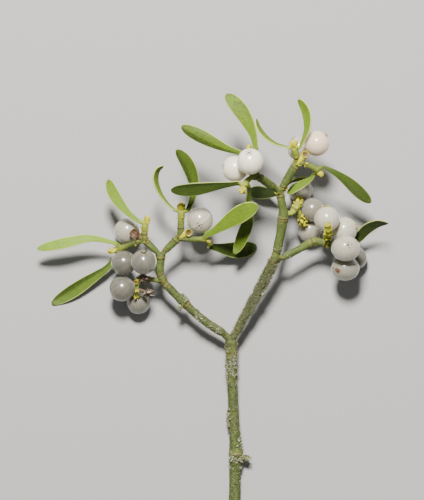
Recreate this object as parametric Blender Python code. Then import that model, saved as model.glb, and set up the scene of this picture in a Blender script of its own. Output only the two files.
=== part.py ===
"""Mistletoe bunch: one cut sprig of white-berried mistletoe, lying on a table.

The shoots fork at every joint, and each twig ends in a pair of leathery leaves with
a bud between them.  The berries sit in tight groups in the forks.  Every shoot,
every leaf and every berry is a closed solid of its own, a hair's breadth from the
next one.  Run it with: blender --background --python part.py

The tables below are in millimetres.  X is across the sprig, Y runs along its stem
from the cut end, and Z is the height above the table.
"""

import math

import bmesh
import bpy
from mathutils import Matrix, Vector

MM = 0.001
UP = Vector((0, 0, 1))

# Shoots: round twigs with a short blunt end at each joint.
SHOOT_SIDES = 8
SHOOT_END = 0.3          # length of the blunt end, as a share of its radius

# Leaves: leathery blades, narrow at the foot, broadest two thirds of the way up.
LEAF_THICKNESS = 0.8     # at the middle of the blade
LEAF_FOOT = 0.34         # width at the foot, as a share of the full width
LEAF_BROADEST = 0.68     # where the blade is broadest, along its length
LEAF_ROUNDING = 1.03     # the tip's ellipse reaches this far along the length
LEAF_STATIONS = (0.02, 0.12, 0.24, 0.36, 0.48, 0.60, 0.72, 0.82, 0.90, 0.96)

# Berries: nearly round.
BERRY_SEGMENTS = 12
BERRY_RINGS = 8

# Each shoot is a list of (x, y, height, radius) from its lower joint to its end.
SHOOTS = {
    "main_stem": [
        (7.8, -77.5, 2.1, 2.1), (7.9, -62, 2.4, 2.05), (8.1, -57.5, 2.8, 2.1),
        (8.3, -54, 3.1, 2.6), (8.1, -50.5, 3.3, 2.3), (7.8, -46, 3.6, 1.95),
        (7.3, -35, 4.4, 1.85), (6.8, -24, 5.4, 1.85), (6.7, -17.5, 6.3, 2.05),
        (6.5, -13.6, 7, 2.3), (6.4, -12.2, 7.3, 2)],
    "left_branch": [
        (3.9, -9.7, 7.6, 1.3), (2.4, -8.7, 7.7, 1.6), (-2.9, -5.2, 8.3, 1.55),
        (-8.3, -0.6, 9.1, 1.5), (-10.6, 1.8, 9.6, 1.75), (-12.5, 3.4, 10, 1.5),
        (-16.6, 7.7, 11, 1.5), (-17.6, 8.8, 11.1, 1.3)],
    "left_upper_branch": [
        (-19.1, 11.9, 11.4, 1.3), (-19.2, 13.2, 11.6, 1.6), (-18.9, 16, 12.1, 1.5),
        (-18.8, 18, 12.6, 1.6)],
    "left_outer_branch": [
        (-20.3, 19.9, 12.8, 1), (-21.3, 20.8, 12.8, 1.25), (-23.4, 22.9, 12.8, 1.25),
        (-24.2, 23.7, 12.8, 1.2)],
    "left_outer_twig": [
        (-24.7, 25.7, 13.2, 1.1), (-24.6, 27.5, 13.7, 1.15), (-24.4, 29.4, 14.1, 1.3),
        (-24, 31.2, 14.5, 1.2), (-23.5, 32.8, 14.9, 0.5)],
    "left_side_twig": [
        (-26.4, 23.6, 12, 0.9), (-28.5, 22.9, 10.8, 1), (-33.1, 21.2, 8.2, 1.15),
        (-36, 20.4, 7.5, 1.3), (-38.2, 19.8, 7.2, 0.5)],
    "left_inner_branch": [
        (-17.2, 20.3, 13.1, 1), (-16.3, 21.1, 13.3, 1.35), (-13.3, 24.1, 14.2, 1.45),
        (-12.5, 24.8, 14.4, 1.3)],
    "left_inner_twig": [
        (-11.7, 27, 15.1, 1.15), (-11.6, 29, 15.5, 1.2), (-11.5, 32.5, 16.3, 1.3),
        (-11.4, 35.5, 17, 1.25), (-11.5, 37.8, 17.5, 0.5)],
    "left_front_twig": [
        (-10.2, 24.5, 14.5, 0.9), (-7.5, 24.4, 14.4, 0.95), (-3.5, 24.4, 14, 1.1),
        (-2, 23.7, 13.7, 1.1), (-0.6, 23, 13.5, 0.5)],
    "left_fruit_spur": [
        (-21.1, 9.8, 10.7, 0.9), (-23.5, 10, 11.2, 1), (-26, 10.3, 12.2, 1.15),
        (-27.3, 8.9, 12.8, 0.9), (-27.4, 6.5, 12.2, 0.75), (-27.6, 4.2, 9.9, 0.7)],
    "right_branch": [
        (8.4, -9.3, 7.7, 1.3), (9.3, -7.4, 8, 1.6), (10.8, -4.6, 8.5, 1.55),
        (15, 3, 10, 1.65), (19.6, 11.7, 12.4, 1.75), (22, 16.7, 13.9, 1.8),
        (22.3, 17.5, 14.1, 1.6)],
    "right_mid_branch": [
        (22.8, 19.8, 14.4, 1.4), (23.2, 21, 14.7, 1.7), (24.4, 27, 16, 1.7),
        (25.2, 32, 17.2, 1.9), (25.3, 33.8, 17.5, 1.8), (25.1, 35.5, 17.8, 1.55),
        (24.4, 39, 18.6, 1.5), (24.1, 41.3, 19.1, 1.5)],
    "centre_branch": [
        (22.3, 42.9, 20.4, 1), (21.2, 43.5, 21.2, 1.5), (17.7, 45.9, 24.6, 1.5),
        (15.5, 47.1, 26.9, 1.3)],
    "centre_front_twig": [
        (13.3, 46.2, 28.4, 0.9), (12, 45, 29.2, 1.1), (11, 43, 29.8, 1.1),
        (10.1, 40.8, 30.2, 0.5)],
    "centre_back_twig": [
        (14.2, 48.9, 27.9, 0.9), (14, 51.5, 26.8, 1), (13.6, 54.3, 26.6, 1.2),
        (13, 56.5, 27.6, 1.1), (12.6, 58, 28.6, 0.5)],
    "back_twig": [
        (25.2, 42.6, 16.5, 0.8), (25.6, 42.8, 15, 1), (25.8, 42.8, 12.5, 1.1),
        (25.8, 42.7, 10.9, 0.5)],
    "top_branch": [
        (25.4, 43.8, 20, 1.2), (26, 44.8, 20.2, 1.55), (29.4, 50.4, 21.8, 1.6),
        (30, 51.4, 22.1, 1.4)],
    "top_left_twig": [
        (30.1, 53.6, 22.9, 1), (29.7, 55, 23.6, 1.2), (29.2, 57, 24.3, 1.25),
        (28.9, 58.8, 24.9, 1), (28.8, 60, 25.2, 0.4)],
    "top_right_twig": [
        (32.4, 51.8, 22.3, 0.9), (34, 51, 22.2, 1), (36.8, 49.8, 21.7, 1.15),
        (38.2, 48.4, 21.2, 1.1), (39.2, 47.4, 20.8, 0.5)],
    "right_fruit_spur": [
        (28.1, 33.7, 16.6, 1), (29, 34.7, 15.9, 1.3), (30.3, 36.6, 14.4, 1.3),
        (30.9, 38.6, 10.5, 0.8)],
    "right_fruit_fork": [
        (31.3, 33.7, 13.6, 0.8), (31.6, 32.3, 12.4, 0.95), (32, 31, 10.9, 0.95),
        (32.6, 30.1, 9.7, 0.6)],
    "right_low_branch": [
        (25.2, 17.8, 13.6, 1), (26.5, 18.5, 13.5, 1.35), (30.1, 20.3, 13.1, 1.35),
        (34.5, 22.7, 12.7, 1.45), (36.5, 23.5, 12.6, 1.6), (38.2, 23.5, 12.5, 1.5),
        (40, 23.2, 12.5, 1.55), (41.8, 22.9, 12.4, 1.3)],
    "right_cluster_spur": [
        (40.8, 25.4, 14.6, 0.8), (41.2, 25.7, 17, 0.95), (41.4, 26, 19.3, 1),
        (41.4, 27.8, 21.8, 1), (41.3, 29, 22.9, 0.7)],
    "right_tip_twig": [
        (43.4, 22.3, 11.9, 0.9), (44.5, 21.5, 11, 1), (46, 20.3, 10, 1.1),
        (47, 19.5, 9.6, 0.6)],
}

# Each leaf: its middle line as (x, y, height) from foot to tip, its full width, how
# far the blade is rolled at the foot and at the tip in degrees, where 0 faces up,
# and how deep its trough is.
LEAVES = {
    "leaf_left_upper": (
        [(-26.3, 30.7, 14.6), (-30.3, 33.6, 14.8), (-34, 37.8, 15), (-36.4, 41.9, 15.3),
         (-37.8, 45.9, 15.7)], 4.3, 20, 10, 0.2),
    "leaf_left_outer": (
        [(-34.2, 22.6, 9.2), (-38.5, 23.8, 10), (-45, 24.7, 11), (-55, 22.7, 10.5),
         (-63.4, 20.9, 9)], 4.1, 22, 12, 0.1),
    "leaf_left_lower": (
        [(-34.3, 19.3, 6.9), (-35.8, 17.2, 5.6), (-38.4, 14, 5), (-44.9, 9.5, 3.4),
         (-51.4, 5.2, 1.6), (-58.3, 1.1, 0.45)], 5, 10, 0, 0.9),
    "leaf_left_curled": (
        [(-13.5, 34.8, 17), (-16, 36.8, 17.5), (-19.1, 41.1, 18.5), (-20.6, 45.7, 20),
         (-20, 49, 21.5), (-18, 50.8, 23)], 4.5, 70, 64, 0),
    "leaf_left_inner": (
        [(-9.3, 34.5, 17), (-7.3, 39.5, 18.5), (-7.1, 45.6, 20.5), (-9.4, 51.8, 22.5),
         (-13.1, 56.5, 24)], 5, -15, -8, 0.2),
    "leaf_middle_front": (
        [(-2.5, 25.8, 15.4), (0.8, 27.6, 17.6), (6.2, 31.2, 21.5), (11.6, 34.5, 25.5),
         (16, 36.4, 28)], 6.5, 0, 0, 0.2),
    "leaf_middle_back": (
        [(-1.6, 22, 11.6), (2.5, 21.2, 8.5), (7.9, 20.5, 4.4), (12.5, 21, 1.8),
         (15.8, 22, 0.6)], 6.2, 0, 0, 0.9),
    "leaf_centre_left": (
        [(9.5, 44.5, 29.8), (2.5, 43.6, 29), (-4.7, 42.5, 28), (-10, 42, 27),
         (-15.1, 41.9, 26)], 5.4, -35, -25, 0.2),
    "leaf_centre_down": (
        [(12.9, 43.4, 28), (13, 38.5, 23.5), (12.6, 31.3, 18), (10.4, 24.8, 14),
         (7.6, 19.1, 11)], 4.6, -40, 15, 1),
    "leaf_top_left": (
        [(11.2, 55, 26.8), (4.2, 57.3, 27.5), (-2.9, 60.7, 27.5), (-11.3, 64.9, 26.5)],
        5.2, -20, -12, -0.5),
    "leaf_top": (
        [(15.3, 56.4, 27.4), (14.4, 61.8, 28), (11.2, 68.6, 28.5), (7.7, 73.2, 28),
         (4.6, 76.3, 27)], 5.8, -22, 0, 0.2),
    "leaf_top_curled": (
        [(27, 57.3, 24.3), (22.3, 58.7, 24), (18.4, 61.6, 23.5), (16.2, 64.8, 23.2),
         (15.5, 67.7, 23)], 4.5, 71, 68, 0),
    "leaf_top_tall": (
        [(31, 57.4, 25.4), (32.5, 60.5, 27), (33.7, 64.5, 28), (33.3, 70, 28.5),
         (30.6, 74.5, 28)], 4.5, -55, -45, 0.3),
    "leaf_right_long": (
        [(39, 50.3, 22.3), (42.8, 48.9, 22.2), (48.1, 45.3, 20), (52.8, 41.1, 17.5),
         (56.8, 37.6, 15)], 4.6, -15, 0, 0.2),
    "leaf_right_small": (
        [(36.2, 47.9, 20), (35.2, 46.2, 19.2), (32.4, 44.4, 18.2), (29.2, 42.6, 17.2),
         (26.8, 40.8, 16.4)], 3.8, 35, 40, 0.2),
    "leaf_right_outer": (
        [(45.6, 22.8, 8.2), (49, 22.9, 6.2), (52.3, 24.6, 7.2), (55, 27.7, 10.3),
         (58.7, 29.9, 13), (63, 30.2, 14.5)], 4.6, -20, 65, 0.2),
    "leaf_back_left": (
        [(25, 41.3, 10.6), (22, 41, 7.6), (18, 41.2, 4), (14.6, 41.5, 1.4),
         (12.4, 41.7, 0.4)], 4.9, 0, 0, 0.3),
    "leaf_back_right": (
        [(26.6, 44, 12), (28.2, 45.2, 12.3), (30.5, 46, 12.3), (32.6, 46.2, 12),
         (34.6, 46.1, 11.5)], 3.6, 70, 70, 0),
}

# Each berry: its centre as (x, y, height) and its diameters along X, Y and Z.
BERRIES = {
    "berry_left_cupped": ((-31, 27.4, 6.6), (9.3, 9.4, 9.2)),
    "berry_left_side": ((-32.2, 15.8, 10.8), (9, 9, 9)),
    "berry_left_front": ((-25, 16.2, 16.8), (9, 9, 9)),
    "berry_left_low": ((-32.8, 6.5, 9.6), (9.2, 9.2, 9)),
    "berry_left_lowest": ((-27, 1.6, 4.3), (8.6, 8.6, 8.6)),
    "berry_middle": ((-4.7, 31.3, 14), (9.6, 9.6, 9.4)),
    "berry_centre_back": ((7.9, 49.7, 25.6), (9.4, 9.4, 9.2)),
    "berry_centre_front": ((13.3, 52.2, 33.5), (9.5, 9.5, 9.5)),
    "berry_top_back": ((31.1, 57.1, 15.4), (9, 9, 9)),
    "berry_top_front": ((37.3, 58.9, 22.4), (9.2, 9.2, 9.2)),
    "berry_right_shaded": ((31.7, 42.1, 4.35), (8.7, 8.7, 8.7)),
    "berry_right_upper": ((35.8, 35.1, 9.5), (8.7, 8.7, 8.7)),
    "berry_right_under": ((34.9, 27.7, 4.35), (8.7, 8.7, 8.7)),
    "berry_right_front": ((41, 31.7, 17.1), (9.2, 9.2, 9.2)),
    "berry_right_outer": ((47.3, 27.7, 10.8), (9.5, 9.5, 9.5)),
    "berry_right_scarred": ((47.7, 21.1, 18.1), (10.4, 9.4, 9.4)),
    "berry_right_low": ((47.7, 13.9, 11.8), (10.2, 9, 9.2)),
    "berry_right_hidden": ((51.5, 17.6, 4.15), (8.3, 8.3, 8.3)),
}


def clear_scene():
    """Take away whatever the file holds."""
    for thing in list(bpy.data.objects):
        bpy.data.objects.remove(thing, do_unlink=True)


def make_material(name, colour, roughness):
    """A plain Principled material in one colour."""
    material = bpy.data.materials.new(name)
    material.use_nodes = True
    shader = material.node_tree.nodes["Principled BSDF"]
    shader.inputs["Base Color"].default_value = (*colour, 1)
    shader.inputs["Roughness"].default_value = roughness
    shader.inputs["Metallic"].default_value = 0
    return material


def curve_point(points, span, share):
    """A point on the smooth curve through the points (a Catmull-Rom spline)."""
    before = points[max(span - 1, 0)]
    start = points[span]
    end = points[span + 1]
    after = points[min(span + 2, len(points) - 1)]
    linear = (end - before) / 2 * share
    square = (before - start * 2.5 + end * 2 - after / 2) * share ** 2
    cube = ((start - end) * 1.5 + (after - before) / 2) * share ** 3
    return start + linear + square + cube


def along_curve(points, shares):
    """Points and directions at the given shares of the curve's length."""
    steps = 12
    trail = [points[0]]
    for span in range(len(points) - 1):
        for step in range(1, steps + 1):
            trail.append(curve_point(points, span, step / steps))
    lengths = [0]
    for a, b in zip(trail, trail[1:]):
        lengths.append(lengths[-1] + (b - a).length)
    found = []
    for share in shares:
        goal = share * lengths[-1]
        i = 1
        while i < len(trail) - 1 and lengths[i] < goal:
            i += 1
        part = (goal - lengths[i - 1]) / (lengths[i] - lengths[i - 1])
        found.append((trail[i - 1].lerp(trail[i], part), (trail[i] - trail[i - 1]).normalized()))
    return found


def skin(name, foot, rings, tip):
    """A closed mesh: a point, rings of equal size, and a point at the other end."""
    shape = bmesh.new()
    first = shape.verts.new(foot)
    loops = [[shape.verts.new(at) for at in ring] for ring in rings]
    last = shape.verts.new(tip)
    count = len(loops[0])
    for i in range(count):
        j = (i + 1) % count
        shape.faces.new((first, loops[0][j], loops[0][i]))
        for low, high in zip(loops, loops[1:]):
            shape.faces.new((low[i], low[j], high[j], high[i]))
        shape.faces.new((last, loops[-1][i], loops[-1][j]))
    bmesh.ops.recalc_face_normals(shape, faces=shape.faces)
    bmesh.ops.scale(shape, vec=(MM, MM, MM), verts=shape.verts)
    mesh = bpy.data.meshes.new(name)
    shape.to_mesh(mesh)
    shape.free()
    mesh.shade_smooth()
    return mesh


def shoot_mesh(name, route):
    """A round twig through the route's points, with its radius at each of them."""
    centres = [Vector(row[:3]) for row in route]
    radii = [row[3] for row in route]
    rings = []
    for i, (centre, radius) in enumerate(zip(centres, radii)):
        ahead = centres[min(i + 1, len(centres) - 1)] - centres[max(i - 1, 0)]
        turn = ahead.to_track_quat("Z", "Y")
        ring = []
        for k in range(SHOOT_SIDES):
            angle = math.tau * k / SHOOT_SIDES
            ring.append(centre + turn @ Vector((math.cos(angle), math.sin(angle), 0)) * radius)
        rings.append(ring)
    back = (centres[0] - centres[1]).normalized() * radii[0] * SHOOT_END
    front = (centres[-1] - centres[-2]).normalized() * radii[-1] * SHOOT_END
    return skin(name, centres[0] + back, rings, centres[-1] + front)


def leaf_outline(share):
    """Half the blade's width at a share of its length, where the most is 1."""
    if share < LEAF_BROADEST:
        rise = share / LEAF_BROADEST
        return LEAF_FOOT + (1 - LEAF_FOOT) * rise * rise * (3 - 2 * rise)
    fall = (share - LEAF_BROADEST) / (LEAF_ROUNDING - LEAF_BROADEST)
    return math.sqrt(1 - fall * fall)


def leaf_mesh(name, route, width, roll_foot, roll_tip, trough):
    """A leathery blade along the route: a blunt lens in section, rolled as it goes."""
    points = [Vector(at) for at in route]
    rings = []
    for share, (at, ahead) in zip(LEAF_STATIONS, along_curve(points, LEAF_STATIONS)):
        roll = math.radians(roll_foot + (roll_tip - roll_foot) * share)
        side = Matrix.Rotation(roll, 3, ahead) @ ahead.cross(UP).normalized()
        face = side.cross(ahead)
        half = width / 2 * leaf_outline(share)
        sink = trough * leaf_outline(share) * 0.75
        flank = side * half * 0.55
        top = face * (LEAF_THICKNESS / 2 - sink)
        bottom = face * (-LEAF_THICKNESS / 2 - sink)
        rings.append([at + side * half, at + flank + top, at - flank + top,
                      at - side * half, at - flank + bottom, at + flank + bottom])
    return skin(name, points[0], rings, points[-1])


def berry_mesh(name, diameters):
    """A nearly round berry, with its poles up and down."""
    shape = bmesh.new()
    bmesh.ops.create_uvsphere(
        shape, u_segments=BERRY_SEGMENTS, v_segments=BERRY_RINGS, radius=0.5)
    bmesh.ops.scale(shape, vec=Vector(diameters) * MM, verts=shape.verts)
    mesh = bpy.data.meshes.new(name)
    shape.to_mesh(mesh)
    shape.free()
    mesh.shade_smooth()
    return mesh


def place(name, mesh, material, sprig, at=(0, 0, 0)):
    """Put a mesh in the scene as a piece of the sprig."""
    piece = bpy.data.objects.new(name, mesh)
    mesh.materials.append(material)
    piece.parent = sprig
    piece.location = Vector(at) * MM
    bpy.context.collection.objects.link(piece)
    return piece


def rest_on_table(sprig, pieces):
    """Bring the middle of the whole sprig over the origin, with its lowest point at 0."""
    corners = [v.co + piece.location for piece in pieces for v in piece.data.vertices]
    low = Vector([min(c[k] for c in corners) for k in range(3)])
    high = Vector([max(c[k] for c in corners) for k in range(3)])
    sprig.location = (-(low.x + high.x) / 2, -(low.y + high.y) / 2, -low.z)


def build():
    """Make the whole sprig."""
    clear_scene()
    bark = make_material("bark_green", (0.36, 0.42, 0.14), 0.6)
    blade = make_material("leaf_green", (0.33, 0.47, 0.12), 0.5)
    pearl = make_material("berry_white", (0.86, 0.85, 0.78), 0.25)
    sprig = bpy.data.objects.new("sprig", None)
    bpy.context.collection.objects.link(sprig)
    pieces = []
    for name, route in SHOOTS.items():
        pieces.append(place(name, shoot_mesh(name, route), bark, sprig))
    for name, (route, width, roll_foot, roll_tip, trough) in LEAVES.items():
        mesh = leaf_mesh(name, route, width, roll_foot, roll_tip, trough)
        pieces.append(place(name, mesh, blade, sprig))
    for name, (centre, diameters) in BERRIES.items():
        pieces.append(place(name, berry_mesh(name, diameters), pearl, sprig, centre))
    rest_on_table(sprig, pieces)


build()
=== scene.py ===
# %% [markdown]
# # A bunch of mistletoe
# A cut sprig of white-berried mistletoe lies on a table and is looked down on.  The frame
# holds one solid for every shoot, leaf and berry.  This lesson dresses them: one skin of
# bark over all the shoots, leathery leaves, pearly berries, and then the small things
# that make the plant believable: buds, bracts, scars, lichen and withered flowers.

# %% Load the frame
import math
import random

import bmesh
import bpy
import numpy as np
from mathutils import Matrix, Vector, noise


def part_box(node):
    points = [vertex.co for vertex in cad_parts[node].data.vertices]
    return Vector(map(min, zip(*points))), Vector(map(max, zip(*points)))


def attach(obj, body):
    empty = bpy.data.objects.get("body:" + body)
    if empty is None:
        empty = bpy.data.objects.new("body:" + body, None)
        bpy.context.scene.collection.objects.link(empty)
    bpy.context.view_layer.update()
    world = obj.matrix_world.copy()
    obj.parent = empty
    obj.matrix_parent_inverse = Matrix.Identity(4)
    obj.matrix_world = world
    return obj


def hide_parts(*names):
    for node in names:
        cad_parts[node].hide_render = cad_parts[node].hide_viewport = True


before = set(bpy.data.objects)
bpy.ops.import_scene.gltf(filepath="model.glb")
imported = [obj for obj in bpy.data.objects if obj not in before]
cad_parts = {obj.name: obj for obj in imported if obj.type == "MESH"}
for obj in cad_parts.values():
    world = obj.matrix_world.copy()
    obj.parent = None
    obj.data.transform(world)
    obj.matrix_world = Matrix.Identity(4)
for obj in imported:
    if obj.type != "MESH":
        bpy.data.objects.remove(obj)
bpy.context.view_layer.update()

MM = 0.001
print("nodes in the frame:", len(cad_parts))

# %% [markdown]
# ## The camera
# The sprig is flat for its size, so it is seen from straight above.  A camera that stands
# a few metres away with a very long lens keeps the high twigs and the low ones in the
# same proportion, as a macro lens does.

# %% Put the camera above the sprig
LENS = 600                # millimetres
SENSOR = 36               # millimetres, on the picture's long side
VIEW_LENGTH = 0.18        # metres of sprig on the picture's long side
VIEW_MIDDLE = Vector((-0.00016, 0.02111, 0.015))
FARTHEST = 20             # metres, as far as the camera sees
view_distance = VIEW_LENGTH * LENS / SENSOR

bpy.ops.object.select_all(action="DESELECT")
bpy.ops.object.camera_add(location=VIEW_MIDDLE + Vector((0, 0, view_distance)))
camera = bpy.context.object
camera.name = "camera"
camera.data.lens = LENS
camera.data.sensor_width = SENSOR
camera.data.clip_end = FARTHEST
bpy.context.scene.camera = camera
print("camera height:", round(camera.location.z, 3))

# %% [markdown]
# ## Shader maths as plain expressions
# A procedural material is arithmetic on signals: how far along the leaf, how close to the
# rim, how noisy here.  Wiring that by hand takes dozens of nodes.  The small class below
# wraps one node output, so that `1 - rim * 0.5` adds its Math nodes by itself.

# %% A signal that can be added and multiplied
class Signal:
    """One output of a node, used in sums like a number."""

    def __init__(self, recipe, socket):
        self.recipe = recipe
        self.socket = socket

    def _math(self, operation, first, second=0.0):
        return self.recipe.node(
            "ShaderNodeMath", {"operation": operation}, {0: first, 1: second})

    def __add__(self, other):
        return self._math("ADD", self, other)

    def __sub__(self, other):
        return self._math("SUBTRACT", self, other)

    def __mul__(self, other):
        return self._math("MULTIPLY", self, other)

    def __rsub__(self, other):
        return self._math("SUBTRACT", other, self)

    def __pow__(self, other):
        return self._math("POWER", self, other)

    __radd__ = __add__
    __rmul__ = __mul__

    def size(self):
        """The value without its sign."""
        return self._math("ABSOLUTE", self)

    def wave(self):
        """The sine of the value."""
        return self._math("SINE", self)

    def most(self, other):
        """The larger of the two."""
        return self._math("MAXIMUM", self, other)

    def step(self, low, high):
        """0 below low, 1 above high, and a smooth rise between them."""
        return self.recipe.node(
            "ShaderNodeMapRange", {"interpolation_type": "SMOOTHSTEP"},
            {0: self, 1: low, 2: high, 3: 0.0, 4: 1.0})


# %% A recipe that builds one material
class Recipe:
    """One material under construction."""

    def __init__(self, name):
        self.material = bpy.data.materials.new(name)
        self.material.use_nodes = True
        self.tree = self.material.node_tree
        self.shader = self.tree.nodes["Principled BSDF"]

    def node(self, kind, settings=None, sockets=None, output=0):
        """Adds a node: its settings first, then the values or links of its sockets."""
        made = self.tree.nodes.new(kind)
        for key, value in (settings or {}).items():
            setattr(made, key, value)
        for key, value in (sockets or {}).items():
            self.feed(made.inputs[key], value)
        return Signal(self, made.outputs[output])

    def feed(self, socket, value):
        """Links a signal to a socket, or sets a plain value on it."""
        if isinstance(value, Signal):
            self.tree.links.new(value.socket, socket)
        elif socket.type == "RGBA":
            socket.default_value = (*value, 1)
        else:
            socket.default_value = value

    def place(self, system="Object"):
        """Where the point is on the object, or on its own flat map with "UV"."""
        return self.node("ShaderNodeTexCoord", output=system)

    def stored(self, name, output="Fac"):
        """An attribute of the mesh."""
        return self.node("ShaderNodeAttribute", {"attribute_name": name}, output=output)

    def mottle(self, scale, at=None, detail=3.0, rough=0.6):
        """Soft noise from 0 to 1, with so many blotches to a metre."""
        return self.node("ShaderNodeTexNoise", None, {
            "Vector": at or self.place(), "Scale": scale, "Detail": detail,
            "Roughness": rough})

    def blend(self, share, first, second):
        """The first colour where the share is 0, the second where it is 1."""
        return self.node("ShaderNodeMix", {"data_type": "RGBA"},
                         {0: share, 6: first, 7: second}, output=2)

    def coats(self, skin, *coats):
        """Colours laid over one another: each coat is (where it covers, its colour)."""
        for share, colour in coats:
            skin = self.blend(share, skin, colour)
        return skin

    def stretched(self, at, along):
        """The same place with each axis scaled."""
        return self.node("ShaderNodeVectorMath", {"operation": "MULTIPLY"},
                         {0: at, 1: along})

    def parts(self, vector):
        """The three numbers of a vector."""
        made = self.node("ShaderNodeSeparateXYZ", None, {0: vector}).socket.node
        return [Signal(self, socket) for socket in made.outputs]

    def bumps(self, height, strength, distance):
        """A normal that makes the height visible, deep as the distance in metres."""
        return self.node("ShaderNodeBump", None, {
            "Strength": strength, "Distance": distance, "Height": height})

    def finish(self, **sockets):
        """Sets the shader's own sockets and gives back the material."""
        for key, value in sockets.items():
            self.feed(self.shader.inputs[key.replace("_", " ")], value)
        return self.material


# %% [markdown]
# ## The table and the light
# The sprig lies on a pale matt table, a little darker than the whitest berries so that
# they still look white on it.  One soft lamp stands beyond the top of the sprig, which
# leaves the lower side of every leaf and berry in shade, and a faint even glow fills the
# rest.

# %% Lay the table
TABLE_SIZE = 4.0          # metres

bpy.ops.object.select_all(action="DESELECT")
bpy.ops.mesh.primitive_plane_add(size=TABLE_SIZE, location=(0, 0, 0))
table = bpy.context.object
table.name = "table"
recipe = Recipe("pale_table")
grain = recipe.mottle(900.0)
table.data.materials.append(recipe.finish(
    Base_Color=recipe.blend(grain, (0.38, 0.376, 0.364), (0.42, 0.416, 0.403)),
    Roughness=0.9, Normal=recipe.bumps(grain, 0.15, 0.0002)))
print("table:", TABLE_SIZE, "m wide")

# %% Hang the lamp
LAMP_HEIGHT = 1.06        # metres above the table
LAMP_BEYOND = 0.66        # metres past the top of the sprig
LAMP_LEFT = 0.06
LAMP_SIZE = 0.26
LAMP_POWER = 44           # watts
LAMP_COLOUR = (1.0, 0.985, 0.95)
GLOW = 0.2
GLOW_COLOUR = (0.95, 0.97, 1, 1)

bpy.ops.object.light_add(type="AREA", location=(-LAMP_LEFT, LAMP_BEYOND, LAMP_HEIGHT))
lamp = bpy.context.object
lamp.name = "lamp"
lamp.data.shape = "DISK"
lamp.data.size = LAMP_SIZE
lamp.data.energy = LAMP_POWER
lamp.data.color = LAMP_COLOUR
lamp.rotation_euler = (-lamp.location).to_track_quat("-Z", "Y").to_euler()
room = bpy.data.worlds.new("room")
room.use_nodes = True
glow = room.node_tree.nodes["Background"].inputs
glow["Color"].default_value = GLOW_COLOUR
glow["Strength"].default_value = GLOW
bpy.context.scene.world = room
print("lamp:", LAMP_POWER, "W")

# %% [markdown]
# ## Small helpers
# An operator acts on whatever is selected, so every piece starts with everything
# deselected.  A finished piece is named, given its material and fixed to the frame's root
# body, and the frame's nodes that it stands for are hidden.

# %% Select, finish and mount a piece
def only(*pieces):
    """Selects these objects and nothing else."""
    bpy.ops.object.select_all(action="DESELECT")
    for piece in pieces:
        piece.select_set(True)
    bpy.context.view_layer.objects.active = pieces[0]


def joined(*pieces):
    """The pieces as one object, which is the first of them."""
    only(*pieces)
    bpy.ops.object.join()
    return bpy.context.object


def pick(piece, test):
    """In edit mode, selects the corners whose place passes the test."""
    bpy.ops.mesh.select_all(action="DESELECT")
    shape = bmesh.from_edit_mesh(piece.data)
    for corner in shape.verts:
        if test(corner.co):
            corner.select_set(True)
    shape.select_flush_mode()
    bmesh.update_edit_mesh(piece.data)


def apply_all(piece):
    """Applies every modifier of the piece, in order."""
    only(piece)
    for modifier in list(piece.modifiers):
        bpy.ops.object.modifier_apply(modifier=modifier.name)


def sit_still(piece):
    """Moves the piece's place, turn and size into its mesh."""
    only(piece)
    bpy.ops.object.transform_apply(location=True, rotation=True, scale=True)


def mount(piece, name, slot, material, *nodes):
    """Names a finished piece, paints it and fixes it to the frame."""
    piece.name = name
    piece.data.name = name
    piece.data.materials.clear()
    piece.data.materials.append(material)
    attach(piece, "root")
    if nodes:
        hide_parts(*nodes)


# %% [markdown]
# ## Reading the frame
# Every shoot and leaf in the frame is a row of rings between two end points.  Starting
# from an end point and walking from corner to corner visits one whole ring at a time, so
# the rings can be found again from the mesh alone.  They give the middle line, the
# width and the tilt that the finished piece has to follow.

# %% Find the rings of a node
def layers_from(start):
    """The corners of a mesh in steps from one corner."""
    seen = {start}
    layers = [[start]]
    while True:
        ahead = []
        for corner in layers[-1]:
            for edge in corner.link_edges:
                other = edge.other_vert(corner)
                if other not in seen:
                    seen.add(other)
                    ahead.append(other)
        if not ahead:
            return layers
        layers.append(ahead)


def rings_of(node):
    """The two end points of a node and the corners of each ring between them."""
    shape = bmesh.new()
    shape.from_mesh(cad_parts[node].data)
    bmesh.ops.remove_doubles(shape, verts=shape.verts, dist=1e-6)
    for corner in shape.verts:
        layers = layers_from(corner)
        sizes = {len(layer) for layer in layers[1:-1]}
        if len(layers) > 3 and len(layers[-1]) == 1 and len(sizes) == 1:
            found = [[c.co.copy() for c in layer] for layer in layers]
            shape.free()
            return found[0][0], found[1:-1], found[-1][0]
    raise ValueError("no rings in " + node)


def middle(points):
    """The mean of some points."""
    return sum(points, Vector()) / len(points)


# %% Follow a smooth curve through points
def smooth_between(rows, at):
    """The value at a position among the rows, on a smooth curve through all of them."""
    i = min(max(int(math.floor(at)), 0), len(rows) - 2)
    t = at - i
    start, end = rows[i], rows[i + 1]
    before = rows[i - 1] if i > 0 else start * 2 - end
    after = rows[i + 2] if i + 2 < len(rows) else end * 2 - start
    return (start * 2 + (end - before) * t
            + (before * 2 - start * 5 + end * 4 - after) * t ** 2
            + (start * 3 - before - end * 3 + after) * t ** 3) / 2


def lengths_along(line):
    """How far each point of a line is from its start."""
    lengths = [0.0]
    for a, b in zip(line, line[1:]):
        lengths.append(lengths[-1] + (b.xyz - a.xyz).length)
    return lengths


def even_places(line, count):
    """Positions among a line's points that divide it into equal lengths."""
    lengths = lengths_along(line)
    return np.interp(np.linspace(0, lengths[-1], count), lengths, range(len(line)))


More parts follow.
